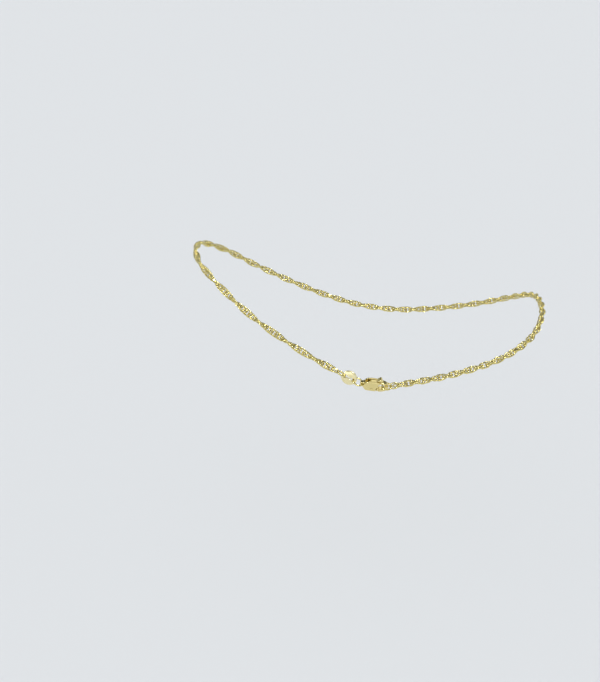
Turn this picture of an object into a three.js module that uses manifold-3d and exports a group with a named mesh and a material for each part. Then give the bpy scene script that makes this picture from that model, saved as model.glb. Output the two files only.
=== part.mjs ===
// Chain anklet: one strand of fine twisted curb chain that closes round an ankle with a trigger clasp.
// Millimetres. The origin is the middle of the loop, on the leg's axis. +Z points up the leg, -X to the
// toes and +X to the heel. The clasp and the oval tag lie on the -Y side.
import * as THREE from "three";
import { mergeVertices } from "three/addons/utils/BufferGeometryUtils.js";
import Module from "manifold-3d";

const wasm = await Module();
wasm.setup();

const YELLOW_GOLD = 0xe2cf86;

// ---- Sizes: the loop --------------------------------------------------------------------------------
// From the ridge of the instep to the back of the heel. Both halves swing out alike, but the near one
// hangs a little lower, from the weight of the clasp.
const HALF_LOOP = [
  // x, to the side, z of the near half, z of the far half
  [-45.6, 0.0, 17.1, 17.1],
  [-44.1, 8.4, 15.7, 15.7],
  [-38.7, 15.4, 11.8, 11.5],
  [-30.6, 20.6, 5.7, 5.4],
  [-20.7, 23.8, -0.7, -0.5],
  [-10.3, 25.5, -6.6, -5.4],
  [-0.3, 26.1, -11.05, -8.6],
  [10.7, 25.4, -10.2, -9.7],
  [22.4, 23.8, -8.2, -8.6],
  [33.1, 20.7, -5.5, -6.0],
  [40.8, 15.6, -2.1, -2.4],
  [44.7, 8.4, 1.0, 1.0],
  [45.6, 0.0, 2.4, 2.4],
];

// ---- Sizes: rings and holes, and where each piece bears on the next ---------------------------------
const FIT_GAP = 0.03;
const RING_WIRE = 0.4;
const RING_SIDES = 8;
const RING_STEPS = 28;
const TAG_RING = 2.3; // across, between wire centres
const TAG_RING_ROLL = -94;
const CLASP_RING = 2.6;
const CLASP_RING_ROLL = -72;
const END_RING = 2.3;
const END_RING_ROLL = -69;
const TAG_LENGTH = 4.1;
const TAG_WIDTH = 3.6;
const TAG_MIDDLE = 58.96; // distance along the loop
const TAG_HOLE_OFFSET = 0.98;
const TAG_HOLE_RADIUS = 0.36;
const EYE_CENTRE = 0.7; // from the clasp's eye end
const EYE_HOLE_RADIUS = 0.31;
const CROOK_SEAT = 5.75; // from the clasp's eye end to the wire that lies in its crook

// ---- Sizes: chain -----------------------------------------------------------------------------------
const CHAIN_WIDTH = 1.8;
const CHAIN_SIDES = 8;
const CHAIN_STEPS = 60;
const CHAIN_END_GAP = 0.15;

// ---- Sizes: tag -------------------------------------------------------------------------------------
const TAG_ROLL = -8;
const TAG_THICKNESS = 1.2;
const TAG_FULLNESS = 1.35; // above 1 the dome is fuller than a lens
const TAG_SLOT_WIDTH = 0.42;
const TAG_EAR_THICKNESS = 0.4; // of the flat ends round the ring holes
const TAG_EAR_WIDTH = 0.9;

// ---- Sizes: clasp body ------------------------------------------------------------------------------
// The clasp lies in its own x and y: x from the eye to the hook, y from the belly to the spine, where the
// thumb-piece stands. Its z is the way that its cheeks face.
const CLASP_ROLL = 23;
const CHEEKS_THICKNESS = 1.9;
const CLASP_EASING = 0.26;
const SLOT_WIDTH = 0.8;
const SLOT_START = 1.3;
const SPINE_SLOT_END = 5.25;
const BELLY_SLOT_END = 4.5;
const PIVOT = new THREE.Vector2(3.0, -0.7);
const PIN_RADIUS = 0.25;
const HOOK_TIP_RADIUS = 2.0; // from the pivot to the face of the hook's tip
const CLASP_OUTLINE = [
  // x, y
  [0.0, 0.0],
  [0.2, -0.48],
  [0.66, -0.74],
  [1.2, -1.24],
  [1.85, -1.52],
  [2.9, -1.56],
  [4.4, -1.56],
  [5.6, -1.56],
  [6.5, -1.3],
  [7.06, -0.72],
  [7.25, 0.0],
  [7.1, 0.62],
  [6.6, 1.13],
  [5.7, 1.42],
  [4.6, 1.52],
  [3.5, 1.56],
  [2.5, 1.54],
  [1.75, 1.34],
  [1.15, 0.92],
  [0.66, 0.74],
  [0.2, 0.5],
];
const HALF_THICKNESS = [
  // x, z
  [-0.1, 0.42],
  [0.95, 0.42],
  [1.5, 0.95],
  [4.4, 0.95],
  [5.2, 0.72],
  [6.3, 0.56],
  [7.35, 0.44],
];
const HOOK_MOUTH = [
  // x, y, from the belly end of the cheeks up and round the inside of the crook
  [4.12, -1.0],
  [4.14, -0.5],
  [4.28, 0.1],
  [4.66, 0.72],
  [5.2, 1.0],
  [5.8, 0.9],
  [6.22, 0.48],
  [6.34, -0.05],
  [6.22, -0.5],
  [5.85, -0.8],
  [5.4, -0.88],
];

// ---- Sizes: clasp pin and lever ---------------------------------------------------------------------
const PIN_LENGTH = CHEEKS_THICKNESS - 0.04;
const LEVER_THICKNESS = 0.6;
const LEVER_EASING = 0.05;
const GATE_TIP_RADIUS = 1.92;
const LEVER_BACK = [
  // x, y, from the top of the gate round the web and the thumb-piece to the foot of the gate
  [4.1, -0.88],
  [3.95, -0.2],
  [4.05, 0.4],
  [4.4, 1.0],
  [5.1, 1.14],
  [5.18, 1.4],
  [5.1, 2.0],
  [4.4, 2.0],
  [4.16, 1.46],
  [2.62, 1.4],
  [2.38, 1.18],
  [1.95, 0.55],
  [2.45, -0.95],
  [2.8, -1.32],
  [3.3, -1.53],
];
const GATE_FOOT = [
  // x, y, of its side next to the cheeks, from the top
  [4.44, -0.98],
  [4.24, -1.2],
  [4.22, -1.53],
];
const GATE_FOOT_THICKNESS = 1.36;
const THUMB_PAD = [
  // x, y, of the pad that stands clear of the spine
  [4.05, 1.64],
  [5.46, 1.64],
  [5.42, 1.88],
  [5.14, 2.36],
  [4.92, 2.54],
  [4.7, 2.44],
  [4.2, 1.9],
];
const THUMB_PAD_THICKNESS = 1.2;
const THUMB_PAD_EASING = 0.14;

const CUT_THROUGH = 4; // longer than any piece is thick

// ---- The way round the ankle ------------------------------------------------------------------------
const nearHalf = HALF_LOOP.map(([x, side, z]) => new THREE.Vector3(x, -side, z));
const farHalf = HALF_LOOP.slice(1, -1).map(([x, side, , z]) => new THREE.Vector3(x, side, z));
const loop = new THREE.CatmullRomCurve3([...nearHalf, ...farHalf.reverse()], true, "catmullrom", 0.5);
loop.arcLengthDivisions = 2400;
const LOOP_LENGTH = loop.getLength();

// A distance is measured along the loop from the ridge of the instep, by way of the clasp.
function pointAt(distance) {
  return loop.getPointAt((((distance / LOOP_LENGTH) % 1) + 1) % 1);
}

// A frame for a stiff piece held between two points of the loop: x runs from the first to the second,
// z is the way that its flat face looks, and roll turns that face about x from straight outwards.
function heldBetween(first, second, rollDegrees) {
  const start = pointAt(first);
  const along = pointAt(second).sub(start).normalize();
  const outwards = new THREE.Vector3().crossVectors(along, new THREE.Vector3(0, 0, 1)).normalize();
  const face = outwards.applyAxisAngle(along, THREE.MathUtils.degToRad(rollDegrees));
  const across = new THREE.Vector3().crossVectors(face, along);
  return new THREE.Matrix4().makeBasis(along, across, face).setPosition(start);
}

const anklet = new THREE.Group();

function addPiece(name, geometry, placed = new THREE.Matrix4()) {
  const gold = new THREE.MeshStandardMaterial({ color: YELLOW_GOLD, roughness: 0.22, metalness: 1 });
  const piece = new THREE.Mesh(geometry, gold);
  piece.name = name;
  placed.decompose(piece.position, piece.quaternion, piece.scale);
  anklet.add(piece);
}

// ---- Where each piece starts and ends along the loop ------------------------------------------------
const tagHold = TAG_HOLE_OFFSET + TAG_HOLE_RADIUS - RING_WIRE / 2 - FIT_GAP;
const tagRingStart = TAG_MIDDLE - tagHold - TAG_RING;
const claspRingEnd = TAG_MIDDLE + tagHold + CLASP_RING;
const claspStart = claspRingEnd - EYE_CENTRE;
const endRingStart = claspStart + CROOK_SEAT;
const endRingEnd = endRingStart + END_RING;

// ---- Chain: one closed tube over the links, from the end ring round the heel to the tag's ring ------
class LoopStretch extends THREE.Curve {
  constructor(from, to) {
    super();
    this.from = from;
    this.to = to;
  }
  getPoint(share) {
    return pointAt(this.from + share * (this.to - this.from));
  }
}

function roundSection(radius, sides) {
  const corner = (n) => (2 * Math.PI * n) / sides;
  const corners = Array.from({ length: sides }, (_, n) => [Math.cos(corner(n)), Math.sin(corner(n))]);
  return new THREE.Shape(corners.map(([x, y]) => new THREE.Vector2(radius * x, radius * y)));
}

const chainStretch = new LoopStretch(
  endRingEnd + RING_WIRE / 2 + CHAIN_END_GAP,
  LOOP_LENGTH + tagRingStart - RING_WIRE / 2 - CHAIN_END_GAP,
);
const chainTube = new THREE.ExtrudeGeometry(roundSection(CHAIN_WIDTH / 2, CHAIN_SIDES), {
  steps: CHAIN_STEPS,
  extrudePath: chainStretch,
});
addPiece("chain", chainTube);

// ---- Jump rings: round wire, soldered shut ----------------------------------------------------------
function addRing(name, start, across, rollDegrees) {
  const ring = new THREE.TorusGeometry(across / 2, RING_WIRE / 2, RING_SIDES, RING_STEPS);
  addPiece(name, ring.translate(across / 2, 0, 0), heldBetween(start, start + across, rollDegrees));
}
addRing("tag_ring", tagRingStart, TAG_RING, TAG_RING_ROLL);
addRing("clasp_ring", claspRingEnd - CLASP_RING, CLASP_RING, CLASP_RING_ROLL);
addRing("chain_end_ring", endRingStart, END_RING, END_RING_ROLL);

// ---- Joining and cutting ----------------------------------------------------------------------------
function solidOf(geometry) {
  const bare = geometry.index ? geometry.toNonIndexed() : geometry.clone();
  bare.deleteAttribute("normal");
  bare.deleteAttribute("uv");
  const merged = mergeVertices(bare, 1e-4);
  const vertProperties = new Float32Array(merged.attributes.position.array);
  const triVerts = new Uint32Array(merged.index.array);
  return new wasm.Manifold(new wasm.Mesh({ numProp: 3, vertProperties, triVerts }));
}

function geometryOf(solid) {
  const mesh = solid.getMesh();
  const geometry = new THREE.BufferGeometry();
  geometry.setAttribute("position", new THREE.BufferAttribute(mesh.vertProperties, 3));
  geometry.setIndex(new THREE.BufferAttribute(mesh.triVerts, 1));
  return geometry;
}

// A flat shape in x and y made a plate that is centred on z = 0, with its rims eased by a small bevel.
function plate(shape, thickness, easing = 0, curveSegments = 8) {
  const geometry = new THREE.ExtrudeGeometry(shape, {
    depth: thickness - 2 * easing,
    bevelEnabled: easing > 0,
    bevelThickness: easing,
    bevelSize: easing,
    bevelOffset: -easing,
    bevelSegments: 3,
    curveSegments,
  });
  return solidOf(geometry.translate(0, 0, easing - thickness / 2));
}

function rod(x, y, radius, length) {
  return new THREE.CylinderGeometry(radius, radius, length, 24).rotateX(Math.PI / 2).translate(x, y, 0);
}

// ---- Tag: a puffed oval with a slot that joins its two ring holes -----------------------------------
const domeSteps = 12;
const tagProfile = Array.from({ length: domeSteps + 1 }, (_, n) => {
  const angle = Math.PI * (n / domeSteps - 0.5);
  const swell = (value) => Math.sign(value) * Math.abs(value) ** (1 / TAG_FULLNESS);
  const radius = n % domeSteps === 0 ? 0 : (TAG_LENGTH / 2) * swell(Math.cos(angle));
  return new THREE.Vector2(radius, (TAG_THICKNESS / 2) * Math.sin(angle));
});
const tagDome = new THREE.LatheGeometry(tagProfile, 40).rotateX(Math.PI / 2);
tagDome.scale(1, TAG_WIDTH / TAG_LENGTH, 1);
const tagSlot = new THREE.BoxGeometry(2 * TAG_HOLE_OFFSET, TAG_SLOT_WIDTH, CUT_THROUGH);
let tagSolid = solidOf(tagDome).subtract(solidOf(tagSlot));
for (const end of [-1, 1]) {
  const hole = rod(end * TAG_HOLE_OFFSET, 0, TAG_HOLE_RADIUS, CUT_THROUGH);
  tagSolid = tagSolid.subtract(solidOf(hole));
  for (const face of [-1, 1]) {
    const round = rod(end * TAG_HOLE_OFFSET, 0, TAG_EAR_WIDTH / 2, CUT_THROUGH);
    const outer = new THREE.BoxGeometry(TAG_LENGTH, TAG_EAR_WIDTH, CUT_THROUGH);
    outer.translate(end * (TAG_HOLE_OFFSET + TAG_LENGTH / 2), 0, 0);
    const notch = solidOf(round).add(solidOf(outer));
    tagSolid = tagSolid.subtract(notch.translate([0, 0, face * (CUT_THROUGH + TAG_EAR_THICKNESS) / 2]));
  }
}
const tagGeometry = geometryOf(tagSolid).translate(TAG_LENGTH / 2, 0, 0);
const tagFrame = heldBetween(TAG_MIDDLE - TAG_LENGTH / 2, TAG_MIDDLE + TAG_LENGTH / 2, TAG_ROLL);
addPiece("tag", tagGeometry, tagFrame);

// ---- Clasp body: eye, two cheeks and hook in one casting --------------------------------------------
function pointsOf(rows) {
  return rows.map(([x, y]) => new THREE.Vector2(x, y));
}

function outlineShape(rows) {
  const [first, ...rest] = pointsOf(rows);
  const shape = new THREE.Shape().moveTo(first.x, first.y);
  return shape.splineThru([...rest, first]);
}

function fromPivot(radius, y) {
  return new THREE.Vector2(PIVOT.x + Math.sqrt(radius ** 2 - (y - PIVOT.y) ** 2), y);
}

function slotBox(end, low, high) {
  const box = new THREE.BoxGeometry(end - SLOT_START, high - low, SLOT_WIDTH);
  return solidOf(box.translate((SLOT_START + end) / 2, (low + high) / 2, 0));
}

const planCorners = [...HALF_THICKNESS, ...HALF_THICKNESS.map(([x, z]) => [x, -z]).reverse()];
const planShape = new THREE.Shape(pointsOf(planCorners));
const planSolid = plate(planShape, CUT_THROUGH).rotate([90, 0, 0]);

const crook = new THREE.SplineCurve(pointsOf(HOOK_MOUTH)).getPoints(30);
const below = new THREE.Vector2(crook[0].x, -CUT_THROUGH / 2);
const tipFace = [-0.88, -1.05, -1.25, -1.45].map((y) => fromPivot(HOOK_TIP_RADIUS, y));
const tipBelow = new THREE.Vector2(tipFace.at(-1).x, -CUT_THROUGH / 2);
const mouthShape = new THREE.Shape([below, ...crook, ...tipFace, tipBelow]);

const claspSolid = plate(outlineShape(CLASP_OUTLINE), CHEEKS_THICKNESS, CLASP_EASING, 3)
  .intersect(planSolid)
  .subtract(plate(mouthShape, CUT_THROUGH))
  .subtract(slotBox(SPINE_SLOT_END, 0, CUT_THROUGH / 2))
  .subtract(slotBox(BELLY_SLOT_END, -CUT_THROUGH / 2, 0.01))
  .subtract(solidOf(rod(EYE_CENTRE, 0, EYE_HOLE_RADIUS, CUT_THROUGH)))
  .subtract(solidOf(rod(PIVOT.x, PIVOT.y, PIN_RADIUS + FIT_GAP, CUT_THROUGH)));
const claspFrame = heldBetween(claspStart, claspStart + CLASP_OUTLINE[10][0], CLASP_ROLL);
addPiece("clasp_body", geometryOf(claspSolid), claspFrame);

// ---- Clasp pin: the plain rivet that the lever turns on, flush with both cheeks ---------------------
addPiece("clasp_pin", rod(PIVOT.x, PIVOT.y, PIN_RADIUS, PIN_LENGTH), claspFrame);

// ---- Clasp lever: gate, web and thumb-piece in one, turning on the pin ------------------------------
// Pulling the thumb-piece back towards the eye swings the gate up into the hook. The gate ends in a foot
// nearly as wide as the hook's tip, which fills the clasp's rim between the cheeks and the tip. The
// thumb-piece ends in a pad that is wider than the web.
const gateFace = [-1.53, -1.3, -1.08, -0.98].map((y) => fromPivot(GATE_TIP_RADIUS, y));
const leverShape = new THREE.Shape([...gateFace, ...pointsOf(LEVER_BACK)]);
const footShape = new THREE.Shape([...gateFace, ...pointsOf(GATE_FOOT)]);
const leverHole = solidOf(rod(PIVOT.x, PIVOT.y, PIN_RADIUS + 0.05, CUT_THROUGH));
const leverSolid = plate(leverShape, LEVER_THICKNESS, LEVER_EASING)
  .add(plate(footShape, GATE_FOOT_THICKNESS, LEVER_EASING))
  .add(plate(new THREE.Shape(pointsOf(THUMB_PAD)), THUMB_PAD_THICKNESS, THUMB_PAD_EASING))
  .subtract(leverHole);
addPiece("clasp_lever", geometryOf(leverSolid), claspFrame);

export default anklet;
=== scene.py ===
"""Chain anklet: a fine twisted curb chain, closed by a trigger clasp beside a puffed oval tag.

Small pieces are modelled in millimetres, each in the frame in which it is held, and are then put in
place in metres.
"""

import bisect
import math
import random

import bpy
from mathutils import Matrix, Vector


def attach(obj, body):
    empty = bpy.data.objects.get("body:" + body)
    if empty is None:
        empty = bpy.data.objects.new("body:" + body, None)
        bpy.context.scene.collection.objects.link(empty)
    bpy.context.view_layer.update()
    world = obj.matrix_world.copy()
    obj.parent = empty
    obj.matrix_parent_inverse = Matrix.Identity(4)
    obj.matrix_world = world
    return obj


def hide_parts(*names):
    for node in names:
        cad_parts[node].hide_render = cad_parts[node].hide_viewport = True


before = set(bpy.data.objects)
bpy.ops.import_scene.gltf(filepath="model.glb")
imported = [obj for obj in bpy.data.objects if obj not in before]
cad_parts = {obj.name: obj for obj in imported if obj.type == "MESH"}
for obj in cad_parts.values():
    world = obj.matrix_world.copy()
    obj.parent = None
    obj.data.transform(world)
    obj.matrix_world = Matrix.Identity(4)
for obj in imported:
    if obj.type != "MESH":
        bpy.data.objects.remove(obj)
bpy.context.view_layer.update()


# ---- Chain --------------------------------------------------------------------------------------------
# Double curb chain twisted into a ribbon: each link of drawn gold wire holds the next two, has a slight
# twist of its own and is cut flat along its outer sides. The ribbon turns like a right-handed screw, tightly
# behind the clasp and loosely over the instep, where the chain is drawn straighter.
MM = 0.001

# The loop that the anklet takes when it is worn: high on the ridge of the instep, low under the ankle
# bones and up again behind the heel. Both halves swing out alike, but the near one, which carries the
# clasp, hangs a little lower.
HALF_LOOP = [
    # x, to the side, z of the near half, z of the far half, in millimetres
    (-45.6, 0.0, 17.1, 17.1),
    (-44.1, 8.4, 15.7, 15.7),
    (-38.7, 15.4, 11.8, 11.5),
    (-30.6, 20.6, 5.7, 5.4),
    (-20.7, 23.8, -0.7, -0.5),
    (-10.3, 25.5, -6.6, -5.4),
    (-0.3, 26.1, -11.05, -8.6),
    (10.7, 25.4, -10.2, -9.7),
    (22.4, 23.8, -8.2, -8.6),
    (33.1, 20.7, -5.5, -6.0),
    (40.8, 15.6, -2.1, -2.4),
    (44.7, 8.4, 1.0, 1.0),
    (45.6, 0.0, 2.4, 2.4),
]
near_half = [Vector((x, -side, z)) for x, side, z, _ in HALF_LOOP]
far_half = [Vector((x, side, z)) for x, side, _, z in HALF_LOOP[-2:0:-1]]
loop_points = near_half + far_half
STEPS_A_SPAN = 100


def loop_point(span, share):
    """A point of the smooth closed curve through the loop's points."""
    before, start, end, after = (loop_points[(span + k) % len(loop_points)] for k in (-1, 0, 1, 2))
    slope_in = (end - before) / 2
    slope_out = (after - start) / 2
    square, cube = share**2, share**3
    return (
        start * (2 * cube - 3 * square + 1)
        + slope_in * (cube - 2 * square + share)
        + end * (3 * square - 2 * cube)
        + slope_out * (cube - square)
    )


loop_line = [loop_point(n // STEPS_A_SPAN, n % STEPS_A_SPAN / STEPS_A_SPAN)
             for n in range(STEPS_A_SPAN * len(loop_points))]
loop_line.append(loop_line[0])
loop_distances = [0.0]
for here, there in zip(loop_line, loop_line[1:]):
    loop_distances.append(loop_distances[-1] + (there - here).length)
LOOP_LENGTH = loop_distances[-1]


def point_at(distance):
    """The loop's point that far from the ridge of the instep, by way of the clasp, in millimetres."""
    distance %= LOOP_LENGTH
    step = min(bisect.bisect_right(loop_distances, distance), len(loop_line) - 1)
    start, end = loop_distances[step - 1], loop_distances[step]
    return loop_line[step - 1].lerp(loop_line[step], (distance - start) / (end - start))


def held_between(first, second, roll_degrees):
    """The frame of a stiff piece held between two points of the loop: x runs from the first to the
    second, z is the way that its flat face looks, and roll turns that face about x from straight out."""
    start = point_at(first)
    along = (point_at(second) - start).normalized()
    outwards = along.cross(Vector((0, 0, 1))).normalized()
    face = Matrix.Rotation(math.radians(roll_degrees), 3, along) @ outwards
    held = Matrix((along, face.cross(along), face)).transposed().to_4x4()
    return Matrix.Translation(start) @ held


# Where each piece bears on the next, as distances along the loop.
RING_WIRE = 0.4
TAG_RING = 2.3
CLASP_RING = 2.6
END_RING = 2.3
TAG_MIDDLE = 58.96
TAG_HOLD = 1.11
EYE_CENTRE = 0.7
CROOK_SEAT = 5.75
CLASP_LENGTH = 7.25

tag_ring_start = TAG_MIDDLE - TAG_HOLD - TAG_RING
clasp_ring_start = TAG_MIDDLE + TAG_HOLD
clasp_start = clasp_ring_start + CLASP_RING - EYE_CENTRE
end_ring_start = clasp_start + CROOK_SEAT
end_ring_end = end_ring_start + END_RING


def linear(hex_colour):
    """A hex sRGB colour as linear red, green, blue and full alpha."""
    channels = [int(hex_colour[n:n + 2], 16) / 255 for n in (1, 3, 5)]
    return [c / 12.92 if c <= 0.04045 else ((c + 0.055) / 1.055) ** 2.4 for c in channels] + [1.0]


def add_node(owner, kind, settings=None, **inputs):
    """Adds a node to the tree of a material or world, with its settings and with values or links for its
    inputs. An input goes by its name, or by its number after an underscore."""
    node = owner.node_tree.nodes.new(kind)
    for name, value in (settings or {}).items():
        setattr(node, name, value)
    for name, value in inputs.items():
        socket = node.inputs[int(name[1:])] if name[0] == "_" else node.inputs[name.replace("_", " ")]
        if isinstance(value, bpy.types.NodeSocket):
            owner.node_tree.links.new(value, socket)
        else:
            socket.default_value = value
    return node


# The whole anklet is 14-carat yellow gold, an alloy with silver and copper. It looks pale lemon yellow,
# bright where it mirrors a lamp and olive where it mirrors the dark. The alloy is faintly cloudy, wear
# dulls it in patches, and polishing leaves scratches along each piece. The scratches are drawn some ten
# times coarser than the polish's real grit, which would be too fine to show.
CLOUD_SIZE = 1.6
SCRATCH_STRETCH = 4


def gold(name, colour, shadow, roughness, scratch_width, scratch_depth):
    """A finish of the anklet's gold, with its scratches' width and depth in millimetres."""
    material = bpy.data.materials.new(name)
    material.use_nodes = True
    material.node_tree.nodes.clear()
    place = add_node(material, "ShaderNodeTexCoord").outputs["Object"]
    cloud = add_node(material, "ShaderNodeTexNoise", Vector=place, Scale=1 / (CLOUD_SIZE * MM), Detail=2.0)
    tone = add_node(material, "ShaderNodeMix", {"data_type": "RGBA"}, _0=cloud.outputs["Fac"],
                    _6=linear(shadow), _7=linear(colour))
    drawn_out = add_node(material, "ShaderNodeMapping", Vector=place, Scale=(1 / SCRATCH_STRETCH, 1.0, 1.0))
    scratches = add_node(material, "ShaderNodeTexNoise", Vector=drawn_out.outputs["Vector"],
                         Scale=1 / (scratch_width * MM), Detail=3.0, Roughness=0.6)
    dulled = add_node(material, "ShaderNodeMapRange", Value=cloud.outputs["Fac"], From_Min=0.35,
                      From_Max=0.7, To_Min=roughness * 0.75, To_Max=roughness * 1.4)
    bump = add_node(material, "ShaderNodeBump", Height=scratches.outputs["Fac"], Strength=0.7,
                    Distance=scratch_depth * MM)
    surface = add_node(material, "ShaderNodeBsdfPrincipled", Base_Color=tone.outputs[2], Metallic=1.0,
                       Roughness=dulled.outputs["Result"], Normal=bump.outputs["Normal"])
    add_node(material, "ShaderNodeOutputMaterial", Surface=surface.outputs["BSDF"])
    return material


# Wire drawn through a die and polished: the smoothest of the three, with many small sharp glints. Its
# colour is painted darker than the alloy's own: painted shade for the dark that the chain mirrors.
wire_gold = gold("drawn_yellow_gold_wire", "#E6DB9A", "#DACB82",
                 roughness=0.17, scratch_width=0.12, scratch_depth=0.004)

LINK_WIRE = 0.36
LINK_HALF_LENGTH = 1.04
LINK_HALF_WIDTH = 0.77
LINK_PITCH = 0.83
LINK_STAGGER = 0.05  # of every other link along the loop
LINK_OWN_TWIST = -0.5  # radians from one end to the other
LINK_CUT = 0.07  # off each long side
LINK_PLAY = 0.03
LINK_SWAY = 4  # degrees to either side of the ribbon's turn
RIBBON_TURNS = [
    # distance along the loop, turn of the ribbon in degrees
    (70.3, -25),
    (78.3, 334),
    (86.3, 693),
    (94.5, 1050),
    (102.0, 1403),
    (109.4, 1748),
    (150.0, 3575),
    (200.0, 5375),
    (262.5, 7231),
    (270.1, 7425),
    (277.8, 7613),
    (285.9, 7800),
    (294.5, 7984),
    (302.6, 8166),
    (309.2, 8347),
]


def ribbon_turn(distance):
    """How far the ribbon has turned at that distance along the loop, in degrees."""
    for (start, turn), (end, next_turn) in zip(RIBBON_TURNS, RIBBON_TURNS[1:]):
        if distance <= end:
            break
    return turn + (next_turn - turn) * (distance - start) / (end - start)


def select_only(*objects):
    """Selects these objects and nothing else, and makes the first of them active."""
    bpy.ops.object.select_all(action="DESELECT")
    for o in objects:
        o.select_set(True)
    bpy.context.view_layer.objects.active = objects[0]


def apply_modifier(piece, kind, **settings):
    """Adds a modifier with its settings and applies it."""
    modifier = piece.modifiers.new(kind.lower(), kind)
    for name, value in settings.items():
        setattr(modifier, name, value)
    select_only(piece)
    bpy.ops.object.modifier_apply(modifier=modifier.name)


def put_in_place(piece, name, placed, body, material, smooth_degrees):
    """Gives a finished piece its name, its place in metres, its finish and the body that it rides on."""
    piece.name = name
    piece.data.name = name
    piece.data.transform(Matrix.Scale(MM, 4) @ placed @ piece.matrix_world)
    piece.matrix_world = Matrix.Identity(4)
    piece.data.materials.clear()
    piece.data.materials.append(material)
    select_only(piece)
    bpy.ops.object.shade_smooth_by_angle(angle=math.radians(smooth_degrees))
    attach(piece, body)


bpy.ops.object.select_all(action="DESELECT")
bpy.ops.mesh.primitive_circle_add(vertices=14, radius=1, location=(0, 0, 0))
link = bpy.context.object
bpy.ops.object.mode_set(mode="EDIT")
bpy.ops.transform.resize(value=(LINK_HALF_LENGTH, LINK_HALF_WIDTH, 1))
bpy.ops.object.mode_set(mode="OBJECT")
bpy.ops.object.convert(target="CURVE")
link.data.bevel_depth = LINK_WIRE / 2
link.data.bevel_resolution = 1
bpy.ops.object.convert(target="MESH")
apply_modifier(link, "SIMPLE_DEFORM", deform_method="TWIST", deform_axis="X", angle=LINK_OWN_TWIST)
bpy.ops.object.mode_set(mode="EDIT")
for side in (-1, 1):
    bpy.ops.mesh.select_all(action="SELECT")
    cut_at = side * (LINK_HALF_WIDTH + LINK_WIRE / 2 - LINK_CUT)
    bpy.ops.mesh.bisect(plane_co=(0, cut_at, 0), plane_no=(0, side, 0), use_fill=True, clear_outer=True)
    bpy.ops.mesh.mark_sharp()
bpy.ops.mesh.select_all(action="SELECT")
bpy.ops.mesh.remove_doubles(threshold=0.005)
bpy.ops.mesh.normals_make_consistent(inside=False)
bpy.ops.object.mode_set(mode="OBJECT")

first_link = end_ring_end - (RING_WIRE + LINK_WIRE) / 2 - LINK_PLAY + LINK_HALF_LENGTH
last_link = LOOP_LENGTH + tag_ring_start + (RING_WIRE + LINK_WIRE) / 2 + LINK_PLAY - LINK_HALF_LENGTH
gaps = round((last_link - first_link) / LINK_PITCH)
pitch = (last_link - first_link) / gaps
unevenness = random.Random(14)
links = []
for n in range(gaps + 1):
    stagger = 0 if n in (0, gaps) else LINK_STAGGER * (-1) ** n
    middle = first_link + n * pitch + stagger
    turn = ribbon_turn(middle) + unevenness.uniform(-LINK_SWAY, LINK_SWAY)
    held = held_between(middle - LINK_HALF_LENGTH, middle + LINK_HALF_LENGTH, turn)
    copy = bpy.data.objects.new("link", link.data.copy())
    bpy.context.collection.objects.link(copy)
    copy.data.transform(held @ Matrix.Translation((LINK_HALF_LENGTH, 0, 0)))
    links.append(copy)
bpy.data.objects.remove(link)
select_only(*links)
bpy.ops.object.join()
chain = bpy.context.object
put_in_place(chain, "chain_links", Matrix.Identity(4), "anklet", wire_gold, smooth_degrees=65)
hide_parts("chain")


# ---- Jump rings ---------------------------------------------------------------------------------------
# Round gold wire turned on a rod, cut and soldered shut, so that the solder stands a hair proud of it. One
# ring holds the chain's last link to the tag, one holds the tag to the clasp's eye, and one closes the
# chain's other end and lies in the clasp's hook.
SOLDER_REACH = 0.248
SOLDER_HEIGHT = 0.02


def jump_ring(name, start, across, roll_degrees, seam_degrees):
    """Adds a ring whose wire bears on the loop at start and again that far across. Its seam is turned from
    the far bearing, and its roll is that of its flat face about the loop."""
    bpy.ops.object.select_all(action="DESELECT")
    bpy.ops.mesh.primitive_torus_add(major_radius=across / 2, minor_radius=RING_WIRE / 2,
                                     major_segments=48, minor_segments=14, location=(0, 0, 0))
    ring = bpy.context.object
    seam = Vector((math.cos(math.radians(seam_degrees)), math.sin(math.radians(seam_degrees)), 0))
    for vertex in ring.data.vertices:
        vertex.select = (vertex.co - seam * across / 2).length < SOLDER_REACH
    bpy.ops.object.mode_set(mode="EDIT")
    bpy.ops.transform.shrink_fatten(value=SOLDER_HEIGHT)
    bpy.ops.object.mode_set(mode="OBJECT")
    held = held_between(start, start + across, roll_degrees) @ Matrix.Translation((across / 2, 0, 0))
    put_in_place(ring, name + "_wire", held, "anklet", wire_gold, smooth_degrees=60)
    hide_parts(name)


jump_ring("tag_ring", tag_ring_start, TAG_RING, roll_degrees=-94, seam_degrees=70)
jump_ring("clasp_ring", clasp_ring_start, CLASP_RING, roll_degrees=-72, seam_degrees=-65)
jump_ring("chain_end_ring", end_ring_start, END_RING, roll_degrees=-69, seam_degrees=60)


# ---- Tag ----------------------------------------------------------------------------------------------
# A bean-shaped oval, pressed from sheet gold and puffed on both faces, with thin flat ears round its two ring
# holes and a slot that joins them. Its face is bare and softly polished, and its edges are worn round.
TAG_LENGTH = 4.1
TAG_WIDTH = 3.6
TAG_THICKNESS = 1.2
TAG_DOME = 0.98  # the share of the half width that the dome takes
TAG_FULLNESS = 0.6  # half is round, and more is fuller
TAG_HOLE_OFFSET = 0.98
TAG_HOLE_RADIUS = 0.36
TAG_SLOT_WIDTH = 0.42
TAG_EAR_THICKNESS = 0.4
TAG_EAR_WIDTH = 0.9
TAG_ROLL = -8  # degrees about the loop
CUT_THROUGH = 4

# Sheet pressed in a die and only tumbled: satin, so that it spreads the light. Its colour is also painted
# paler than the alloy's own, as painted light, and so it looks palest.
stamped_gold = gold("stamped_yellow_gold", "#FCF3C4", "#F6E7B0",
                    roughness=0.3, scratch_width=0.16, scratch_depth=0.006)


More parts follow.
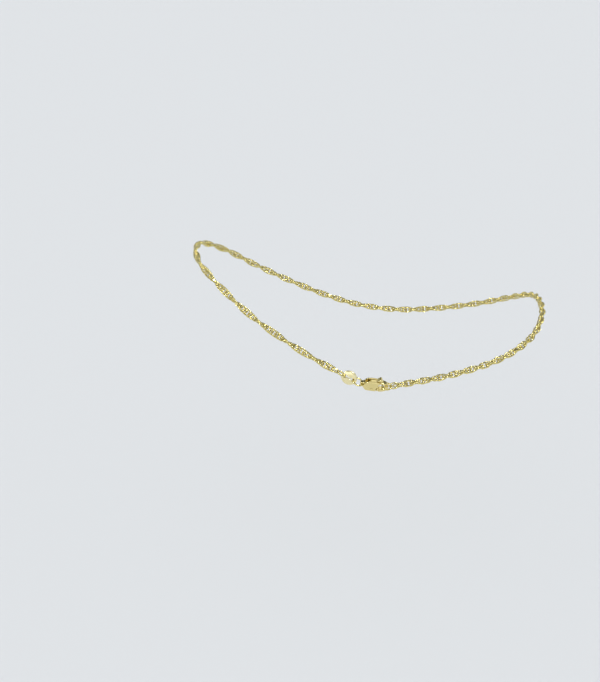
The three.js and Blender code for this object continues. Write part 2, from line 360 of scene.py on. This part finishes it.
def cut_away(piece, cutter):
    """Cuts the cutter's shape out of the piece and takes the cutter away."""
    apply_modifier(piece, "BOOLEAN", operation="DIFFERENCE", solver="EXACT", object=cutter)
    bpy.data.objects.remove(cutter)


def cut_round(piece, x, z, radius):
    """Cuts a round hole down through the piece at x, or a round recess where z is off its middle."""
    bpy.ops.object.select_all(action="DESELECT")
    bpy.ops.mesh.primitive_cylinder_add(vertices=48, radius=radius, depth=CUT_THROUGH, location=(x, 0, z))
    cut_away(piece, bpy.context.object)


def cut_bar(piece, x, z, length, width):
    """Cuts a straight slot down through the piece at x, or a recess where z is off its middle."""
    bpy.ops.object.select_all(action="DESELECT")
    bpy.ops.mesh.primitive_cube_add(size=1, location=(x, 0, z))
    bar = bpy.context.object
    bpy.ops.object.mode_set(mode="EDIT")
    bpy.ops.transform.resize(value=(length, width, CUT_THROUGH))
    bpy.ops.object.mode_set(mode="OBJECT")
    cut_away(piece, bar)


def tumble(piece, grain, rounds):
    """Makes a piece one closed skin and wears its edges round, as polishing in a tumbler does."""
    apply_modifier(piece, "REMESH", mode="VOXEL", voxel_size=grain)
    apply_modifier(piece, "SMOOTH", factor=0.5, iterations=rounds)


bpy.ops.object.select_all(action="DESELECT")
bpy.ops.mesh.primitive_cylinder_add(vertices=72, radius=1, depth=2, location=(0, 0, 0))
tag = bpy.context.object
bpy.ops.object.mode_set(mode="EDIT")
bpy.ops.mesh.select_mode(type="EDGE")
bpy.ops.mesh.select_all(action="DESELECT")
bpy.ops.mesh.edges_select_sharp(sharpness=math.radians(60))
bpy.ops.mesh.bevel(offset=TAG_DOME, segments=18, profile=TAG_FULLNESS, affect="EDGES")
bpy.ops.mesh.select_all(action="SELECT")
bpy.ops.transform.resize(value=(TAG_LENGTH / 2, TAG_WIDTH / 2, TAG_THICKNESS / 2))
bpy.ops.object.mode_set(mode="OBJECT")
cut_bar(tag, 0, 0, 2 * TAG_HOLE_OFFSET, TAG_SLOT_WIDTH)
for end in (-1, 1):
    cut_round(tag, end * TAG_HOLE_OFFSET, 0, TAG_HOLE_RADIUS)
    for face in (-1, 1):
        over_the_ear = face * (CUT_THROUGH + TAG_EAR_THICKNESS) / 2
        cut_round(tag, end * TAG_HOLE_OFFSET, over_the_ear, TAG_EAR_WIDTH / 2)
        cut_bar(tag, end * (TAG_HOLE_OFFSET + TAG_LENGTH / 2), over_the_ear, TAG_LENGTH, TAG_EAR_WIDTH)
tumble(tag, grain=0.035, rounds=7)
tag_held = held_between(TAG_MIDDLE - TAG_LENGTH / 2, TAG_MIDDLE + TAG_LENGTH / 2, TAG_ROLL)
tag_middle = tag_held @ Matrix.Translation((TAG_LENGTH / 2, 0, 0))
put_in_place(tag, "tag_bean", tag_middle, "anklet", stamped_gold, smooth_degrees=60)
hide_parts("tag")


# ---- Trigger clasp ------------------------------------------------------------------------------------
# Cast in one with its eye and hook, then tumbled and polished, so that every edge is round. The lever is a
# smaller casting that turns on a rivet, which is filed flush with the cheeks.
CLASP_ROLL = 23  # degrees about the loop

# Cast, then polished on a wheel: clear but soft reflections, which follow the wheel's strokes.
cast_gold = gold("cast_yellow_gold", "#F4E5A6", "#EAD78F",
                 roughness=0.2, scratch_width=0.16, scratch_depth=0.005)


def casting(node, held):
    """The rough casting of a piece in its own frame: a copy of its solid, with the corners merged."""
    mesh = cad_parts[node].data.copy()
    mesh.transform(held.inverted() @ Matrix.Scale(1 / MM, 4))
    piece = bpy.data.objects.new(node + "_casting", mesh)
    bpy.context.collection.objects.link(piece)
    select_only(piece)
    bpy.ops.object.mode_set(mode="EDIT")
    bpy.ops.mesh.select_all(action="SELECT")
    bpy.ops.mesh.remove_doubles(threshold=0.0005)
    bpy.ops.object.mode_set(mode="OBJECT")
    return piece


clasp_held = held_between(clasp_start, clasp_start + CLASP_LENGTH, CLASP_ROLL)
clasp = casting("clasp_body", clasp_held)
tumble(clasp, grain=0.045, rounds=22)
put_in_place(clasp, "clasp_casting", clasp_held, "anklet", cast_gold, smooth_degrees=60)
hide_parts("clasp_body")

lever = casting("clasp_lever", clasp_held)
tumble(lever, grain=0.035, rounds=4)
put_in_place(lever, "clasp_trigger", clasp_held, "lever", cast_gold, smooth_degrees=60)
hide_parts("clasp_lever")

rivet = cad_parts["clasp_pin"]
rivet.material_slots[0].material = cast_gold


# ---- Floor and light ----------------------------------------------------------------------------------
# A pale sheet of card lies below the anklet, in an even light from above that the gold doesn't mirror. What
# the gold mirrors is the card, white walls, a dark ceiling, two soft boxes, in front and overhead, and two
# small lamps. These boxes and lamps leave no light or shadow on the card.
FLOOR_DEPTH = 60 * MM
bpy.ops.object.select_all(action="DESELECT")
bpy.ops.mesh.primitive_plane_add(size=12, location=(0, 0, -FLOOR_DEPTH))
floor = bpy.context.object
floor.name = "floor"

# Uncoated card: pale, very slightly blue, and without any shine.
card = bpy.data.materials.new("matt_white_card")
card.use_nodes = True
card.node_tree.nodes["Principled BSDF"].inputs["Base Color"].default_value = linear("#D4D6D8")
card.node_tree.nodes["Principled BSDF"].inputs["Roughness"].default_value = 0.9
card.node_tree.nodes["Principled BSDF"].inputs["Specular IOR Level"].default_value = 0.0
floor.data.materials.append(card)

world = bpy.data.worlds.new("white_room")
bpy.context.scene.world = world
world.use_nodes = True
world.node_tree.nodes.clear()
upwards = add_node(world, "ShaderNodeTexCoord").outputs["Generated"]
height = add_node(world, "ShaderNodeSeparateXYZ", Vector=upwards).outputs["Z"]
ceiling = add_node(world, "ShaderNodeMapRange", {"interpolation_type": "SMOOTHSTEP"}, Value=height,
                   From_Min=0.3, From_Max=0.55)
walls = add_node(world, "ShaderNodeMix", {"data_type": "RGBA"}, _0=ceiling.outputs["Result"],
                 _6=linear("#DDE1E4"), _7=linear("#4E5358"))
room = add_node(world, "ShaderNodeBackground", Color=walls.outputs[2], Strength=1.0)
add_node(world, "ShaderNodeOutputWorld", Surface=room.outputs["Background"])


def add_lamp(name, kind, location, watts, **settings):
    """A lamp that points at the anklet. No view shows the lamp itself."""
    lamp = bpy.data.lights.new(name, kind)
    lamp.energy = watts
    for setting, value in settings.items():
        setattr(lamp, setting, value)
    holder = bpy.data.objects.new(name, lamp)
    holder.location = location
    holder.rotation_euler = (-Vector(location)).to_track_quat("-Z", "Y").to_euler()
    holder.visible_camera = False
    bpy.context.collection.objects.link(holder)
    return holder


daylight = add_lamp("even_daylight", "SUN", (-0.2, -0.3, 2), 3.0, angle=math.radians(120))
daylight.visible_glossy = False
for lamp in (
    add_lamp("soft_box", "AREA", (-0.2, -1.3, 0.9), 8, shape="RECTANGLE", size=1.8, size_y=1.5),
    add_lamp("overhead_box", "AREA", (0.25, 0.55, 1.45), 2.8, size=1.0),
    add_lamp("left_lamp", "AREA", (-0.9, -0.5, 1.2), 8, size=0.3),
    add_lamp("right_lamp", "AREA", (0.9, -0.2, 1.2), 8, size=0.3),
):
    lamp.visible_diffuse = False

bpy.context.scene.view_settings.view_transform = "Standard"


# ---- Camera -------------------------------------------------------------------------------------------
# The camera looks a little down on the side that carries the clasp, from far enough off that the loop keeps
# its shape. It is aimed to the left of the loop's middle and below it.
CAMERA_DISTANCE = 300 * MM
CAMERA_ELEVATION = math.radians(22)
CAMERA_SIDE = -18.4 * MM
CAMERA_DROP = 8.7 * MM

camera_data = bpy.data.cameras.new("camera")
camera_data.lens = 59.05
camera_data.sensor_width = 36
camera_data.clip_start = 0.01
camera = bpy.data.objects.new("camera", camera_data)
bpy.context.collection.objects.link(camera)
towards_camera = Vector((0, -math.cos(CAMERA_ELEVATION), math.sin(CAMERA_ELEVATION)))
camera_up = Vector((0, math.sin(CAMERA_ELEVATION), math.cos(CAMERA_ELEVATION)))
camera.location = towards_camera * CAMERA_DISTANCE - camera_up * CAMERA_DROP + Vector((CAMERA_SIDE, 0, 0))
camera.rotation_euler = (math.pi / 2 - CAMERA_ELEVATION, 0, 0)
bpy.context.scene.camera = camera
